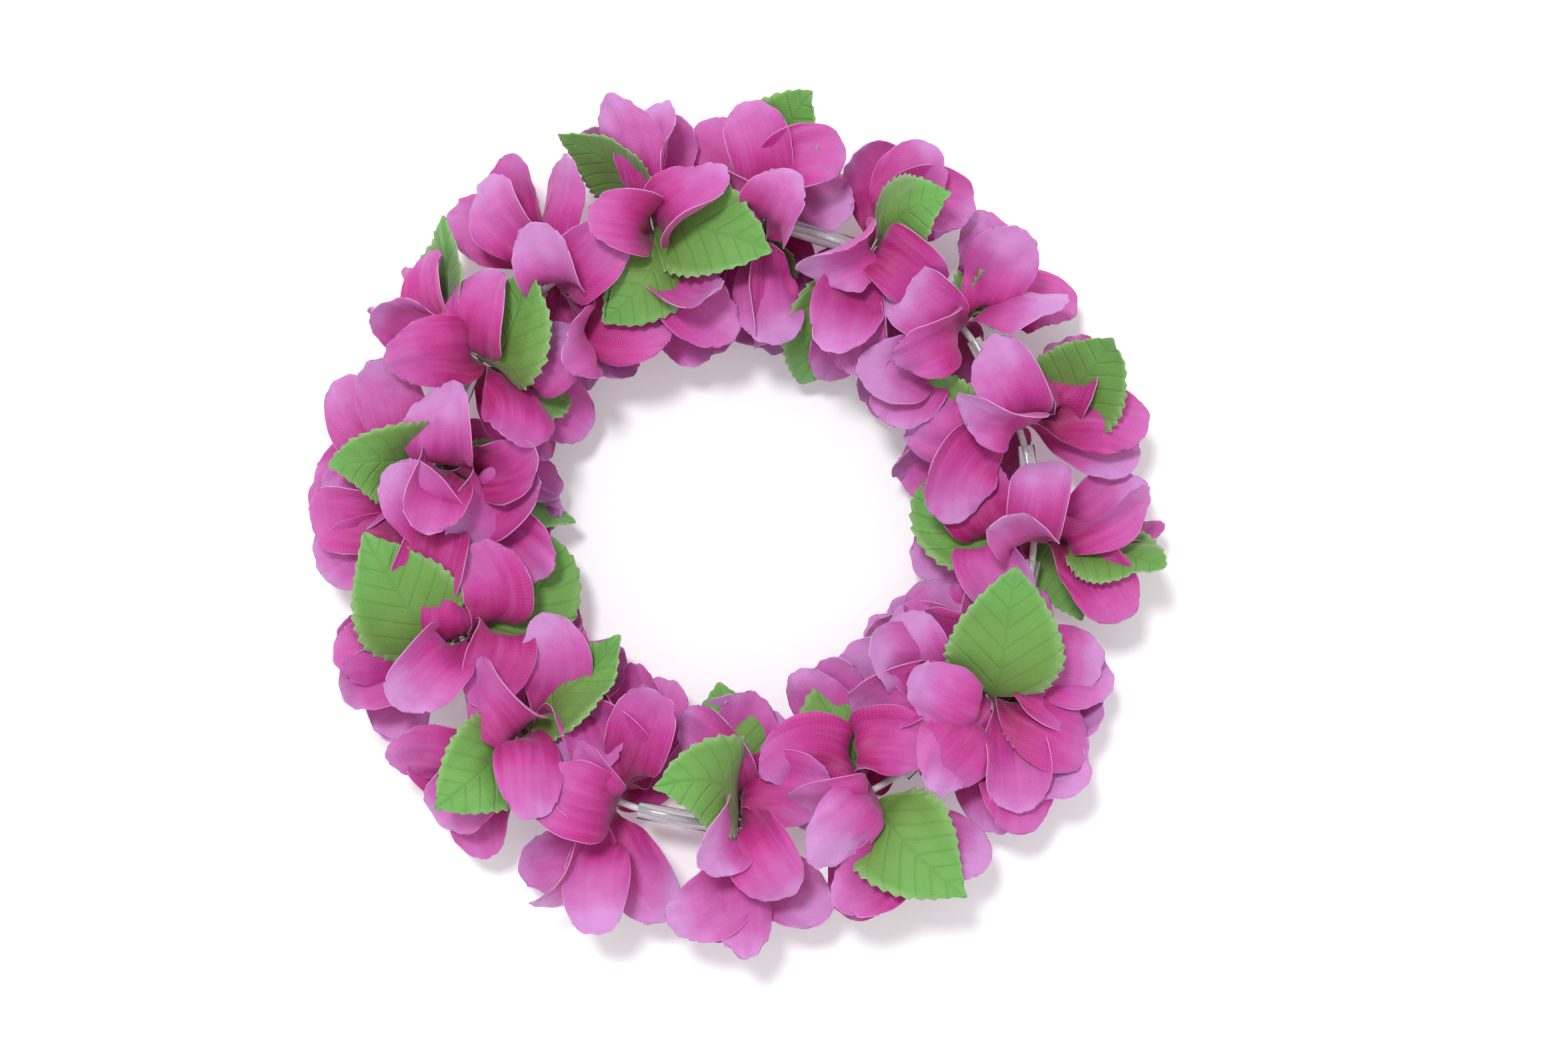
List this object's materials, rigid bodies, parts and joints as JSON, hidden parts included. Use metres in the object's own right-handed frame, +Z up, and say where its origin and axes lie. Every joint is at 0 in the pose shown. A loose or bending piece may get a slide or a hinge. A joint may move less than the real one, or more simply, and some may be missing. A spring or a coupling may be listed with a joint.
{
  "type": "flower crown",
  "caption": "Silk flower crown: cupped petal blossoms and serrated leaf sprays threaded with clear straw spacers on a closed elastic cord.",
  "frame": {"origin": "under the middle of the ring, on the surface that the crown lies on", "axes": "+Z is up, square to the ring; X and Y lie across the ring, and its ring angles are counted from +X towards +Y"},
  "size_m": [0.2497, 0.2472, 0.0585],
  "materials": {
    "petal_cloth": "woven polyester petal cloth, dyed magenta pink at the base and fading to lilac at the tips, satin",
    "leaf_cloth": "woven polyester leaf cloth, green, with pressed veins and a saw-tooth edge",
    "clear_straw": "clear thin-walled plastic tube",
    "white_elastic": "off-white round elastic"
  },
  "bodies": {
    "cord_loop": {"elastic_cord": "white_elastic", "cord_knot": "white_elastic"},
    "blossom_01": {"blossom_01_front_petals": "petal_cloth", "blossom_01_back_petals": "petal_cloth", "leaf_spray_01": "leaf_cloth"},
    "blossom_02": {"blossom_02_front_petals": "petal_cloth", "blossom_02_back_petals": "petal_cloth", "leaf_spray_02": "leaf_cloth"},
    "blossom_03": {"blossom_03_front_petals": "petal_cloth", "blossom_03_back_petals": "petal_cloth", "leaf_spray_03": "leaf_cloth"},
    "blossom_04": {"blossom_04_front_petals": "petal_cloth", "blossom_04_back_petals": "petal_cloth", "leaf_spray_04": "leaf_cloth"},
    "blossom_05": {"blossom_05_front_petals": "petal_cloth", "blossom_05_back_petals": "petal_cloth", "leaf_spray_05": "leaf_cloth"},
    "blossom_06": {"blossom_06_front_petals": "petal_cloth", "blossom_06_back_petals": "petal_cloth", "leaf_spray_06": "leaf_cloth"},
    "blossom_07": {"blossom_07_front_petals": "petal_cloth", "blossom_07_back_petals": "petal_cloth"},
    "blossom_08": {"blossom_08_front_petals": "petal_cloth", "blossom_08_back_petals": "petal_cloth", "leaf_spray_07": "leaf_cloth"},
    "blossom_09": {"blossom_09_front_petals": "petal_cloth", "blossom_09_back_petals": "petal_cloth", "leaf_spray_08": "leaf_cloth"},
    "blossom_10": {"blossom_10_front_petals": "petal_cloth", "blossom_10_back_petals": "petal_cloth", "leaf_spray_09": "leaf_cloth"},
    "blossom_11": {"blossom_11_front_petals": "petal_cloth", "blossom_11_back_petals": "petal_cloth", "leaf_spray_10": "leaf_cloth"},
    "blossom_12": {"blossom_12_front_petals": "petal_cloth", "blossom_12_back_petals": "petal_cloth"},
    "blossom_13": {"blossom_13_front_petals": "petal_cloth", "blossom_13_back_petals": "petal_cloth", "leaf_spray_11": "leaf_cloth"},
    "blossom_14": {"blossom_14_front_petals": "petal_cloth", "blossom_14_back_petals": "petal_cloth", "leaf_spray_12": "leaf_cloth"},
    "blossom_15": {"blossom_15_front_petals": "petal_cloth", "blossom_15_back_petals": "petal_cloth", "leaf_spray_13": "leaf_cloth"},
    "straw_01": {"spacer_straw_01": "clear_straw"},
    "straw_02": {"spacer_straw_02": "clear_straw"},
    "straw_03": {"spacer_straw_03": "clear_straw"},
    "straw_04": {"spacer_straw_04": "clear_straw"},
    "straw_05": {"spacer_straw_05": "clear_straw"},
    "straw_06": {"spacer_straw_06": "clear_straw"},
    "straw_07": {"spacer_straw_07": "clear_straw"},
    "straw_08": {"spacer_straw_08": "clear_straw"},
    "straw_09": {"spacer_straw_09": "clear_straw"},
    "straw_10": {"spacer_straw_10": "clear_straw"},
    "straw_11": {"spacer_straw_11": "clear_straw"},
    "straw_12": {"spacer_straw_12": "clear_straw"},
    "straw_13": {"spacer_straw_13": "clear_straw"},
    "straw_14": {"spacer_straw_14": "clear_straw"},
    "straw_15": {"spacer_straw_15": "clear_straw"}
  },
  "joints": [
    {"name": "blossom_01_turn", "type": "hinge", "parent": "cord_loop", "child": "blossom_01", "pos_m": [0.08688, -0.00455, 0.0262], "axis": [0.0523, 0.9986, 0], "range_deg": [-25, 25]},
    {"name": "blossom_02_turn", "type": "hinge", "parent": "cord_loop", "child": "blossom_02", "pos_m": [0.08226, 0.02832, 0.0262], "axis": [-0.3256, 0.9455, 0], "range_deg": [-25, 25]},
    {"name": "blossom_03_turn", "type": "hinge", "parent": "cord_loop", "child": "blossom_03", "pos_m": [0.06566, 0.05708, 0.0262], "axis": [-0.6561, 0.7547, 0], "range_deg": [-25, 25]},
    {"name": "blossom_04_turn", "type": "hinge", "parent": "cord_loop", "child": "blossom_04", "pos_m": [0.0395, 0.07752, 0.0262], "axis": [-0.891, 0.454, 0], "range_deg": [-25, 25]},
    {"name": "blossom_05_turn", "type": "hinge", "parent": "cord_loop", "child": "blossom_05", "pos_m": [0.00909, 0.08652, 0.0262], "axis": [-0.9945, 0.1045, 0], "range_deg": [-25, 25]},
    {"name": "blossom_06_turn", "type": "hinge", "parent": "cord_loop", "child": "blossom_06", "pos_m": [-0.02252, 0.08404, 0.0262], "axis": [-0.9659, -0.2588, 0], "range_deg": [-25, 25]},
    {"name": "blossom_07_turn", "type": "hinge", "parent": "cord_loop", "child": "blossom_07", "pos_m": [-0.05114, 0.07038, 0.0262], "axis": [-0.809, -0.5878, 0], "range_deg": [-25, 25]},
    {"name": "blossom_08_turn", "type": "hinge", "parent": "cord_loop", "child": "blossom_08", "pos_m": [-0.07296, 0.04738, 0.0262], "axis": [-0.5446, -0.8387, 0], "range_deg": [-25, 25]},
    {"name": "blossom_09_turn", "type": "hinge", "parent": "cord_loop", "child": "blossom_09", "pos_m": [-0.0854, 0.0166, 0.0262], "axis": [-0.1908, -0.9816, 0], "range_deg": [-25, 25]},
    {"name": "blossom_10_turn", "type": "hinge", "parent": "cord_loop", "child": "blossom_10", "pos_m": [-0.08008, -0.03399, 0.0262], "axis": [0.3907, -0.9205, 0], "range_deg": [-25, 25]},
    {"name": "blossom_11_turn", "type": "hinge", "parent": "cord_loop", "child": "blossom_11", "pos_m": [-0.06152, -0.06152, 0.0262], "axis": [0.7071, -0.7071, 0], "range_deg": [-25, 25]},
    {"name": "blossom_12_turn", "type": "hinge", "parent": "cord_loop", "child": "blossom_12", "pos_m": [-0.03399, -0.08008, 0.0262], "axis": [0.9205, -0.3907, 0], "range_deg": [-25, 25]},
    {"name": "blossom_13_turn", "type": "hinge", "parent": "cord_loop", "child": "blossom_13", "pos_m": [0.00152, -0.08699, 0.0262], "axis": [0.9998, 0.0175, 0], "range_deg": [-25, 25]},
    {"name": "blossom_14_turn", "type": "hinge", "parent": "cord_loop", "child": "blossom_14", "pos_m": [0.0395, -0.07752, 0.0262], "axis": [0.891, 0.454, 0], "range_deg": [-25, 25]},
    {"name": "blossom_15_turn", "type": "hinge", "parent": "cord_loop", "child": "blossom_15", "pos_m": [0.07213, -0.04865, 0.0262], "axis": [0.5592, 0.829, 0], "range_deg": [-25, 25]},
    {"name": "straw_01_spin", "type": "hinge", "parent": "cord_loop", "child": "straw_01", "pos_m": [0.08589, 0.01131, 0.0262], "axis": [-0.1306, 0.9914, 0], "continuous": true},
    {"name": "straw_02_spin", "type": "hinge", "parent": "cord_loop", "child": "straw_02", "pos_m": [0.07503, 0.04332, 0.0262], "axis": [-0.5, 0.866, 0], "continuous": true},
    {"name": "straw_03_spin", "type": "hinge", "parent": "cord_loop", "child": "straw_03", "pos_m": [0.05275, 0.06873, 0.0262], "axis": [-0.7933, 0.6088, 0], "continuous": true},
    {"name": "straw_04_spin", "type": "hinge", "parent": "cord_loop", "child": "straw_04", "pos_m": [0.02504, 0.08294, 0.0262], "axis": [-0.9573, 0.289, 0], "continuous": true},
    {"name": "straw_05_spin", "type": "hinge", "parent": "cord_loop", "child": "straw_05", "pos_m": [-0.0068, 0.08637, 0.0262], "axis": [-0.9969, -0.0785, 0], "continuous": true},
    {"name": "straw_06_spin", "type": "hinge", "parent": "cord_loop", "child": "straw_06", "pos_m": [-0.0373, 0.0782, 0.0262], "axis": [-0.9026, -0.4305, 0], "continuous": true},
    {"name": "straw_07_spin", "type": "hinge", "parent": "cord_loop", "child": "straw_07", "pos_m": [-0.06284, 0.05964, 0.0262], "axis": [-0.6884, -0.7254, 0], "continuous": true},
    {"name": "straw_08_spin", "type": "hinge", "parent": "cord_loop", "child": "straw_08", "pos_m": [-0.07997, 0.03332, 0.0262], "axis": [-0.3846, -0.9231, 0], "continuous": true},
    {"name": "straw_09_spin", "type": "hinge", "parent": "cord_loop", "child": "straw_09", "pos_m": [-0.08472, -0.01813, 0.0262], "axis": [0.2093, -0.9778, 0], "continuous": true},
    {"name": "straw_10_spin", "type": "hinge", "parent": "cord_loop", "child": "straw_10", "pos_m": [-0.07182, -0.04845, 0.0262], "axis": [0.5592, -0.829, 0], "continuous": true},
    {"name": "straw_11_spin", "type": "hinge", "parent": "cord_loop", "child": "straw_11", "pos_m": [-0.04845, -0.07182, 0.0262], "axis": [0.829, -0.5592, 0], "continuous": true},
    {"name": "straw_12_spin", "type": "hinge", "parent": "cord_loop", "child": "straw_12", "pos_m": [-0.01653, -0.08504, 0.0262], "axis": [0.9816, -0.1908, 0], "continuous": true},
    {"name": "straw_13_spin", "type": "hinge", "parent": "cord_loop", "child": "straw_13", "pos_m": [0.02096, -0.08406, 0.0262], "axis": [0.9703, 0.2419, 0], "continuous": true},
    {"name": "straw_14_spin", "type": "hinge", "parent": "cord_loop", "child": "straw_14", "pos_m": [0.05741, -0.06489, 0.0262], "axis": [0.749, 0.6626, 0], "continuous": true},
    {"name": "straw_15_spin", "type": "hinge", "parent": "cord_loop", "child": "straw_15", "pos_m": [0.08388, -0.02167, 0.0262], "axis": [0.2501, 0.9682, 0], "continuous": true}
  ]
}
